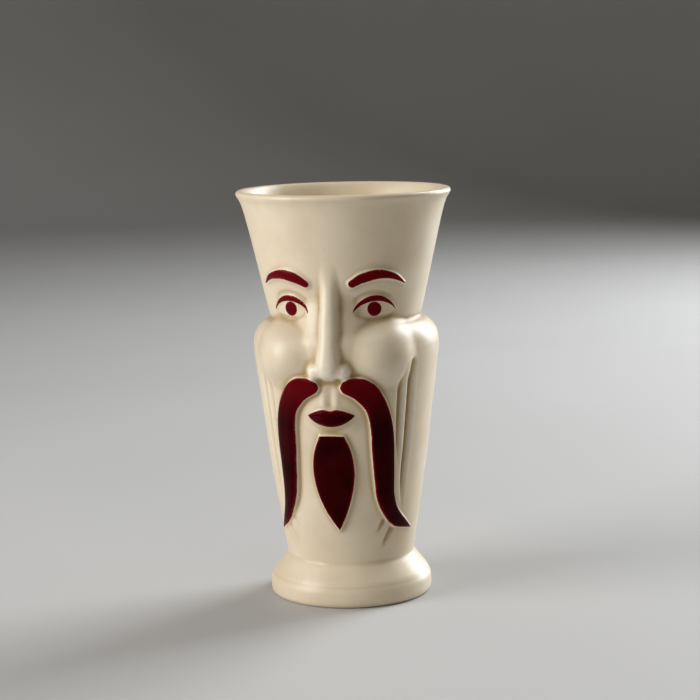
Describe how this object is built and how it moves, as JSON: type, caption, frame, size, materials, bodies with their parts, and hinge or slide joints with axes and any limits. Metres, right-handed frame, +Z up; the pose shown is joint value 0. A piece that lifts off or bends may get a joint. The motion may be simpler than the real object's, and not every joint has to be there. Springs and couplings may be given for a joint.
{
  "type": "tiki mug",
  "caption": "Slip-cast glazed ceramic mask mug: a flared cup above a waist and a tapering beaker below, with a mask face in relief, enamel details and a stepped foot.",
  "frame": {"origin": "centre of the foot's underside, on the mug's axis, at the surface the mug stands on", "axes": "+Z up along the mug's axis, -Y out of the face, +X to the right of a person who looks at the face"},
  "size_m": [0.089, 0.089, 0.17],
  "materials": {
    "ivory_glaze": "glossy ivory glaze over an off-white slip-cast body",
    "maroon_enamel": "glossy maroon overglaze enamel, hand painted and fired"
  },
  "bodies": {
    "root": {"mug_body": "ivory_glaze", "moustache_left": "maroon_enamel", "moustache_right": "maroon_enamel", "goatee": "maroon_enamel", "lips": "maroon_enamel", "brow_left": "maroon_enamel", "brow_right": "maroon_enamel", "eyelid_left": "maroon_enamel", "eyelid_right": "maroon_enamel", "pupil_left": "maroon_enamel", "pupil_right": "maroon_enamel"}
  },
  "joints": []
}
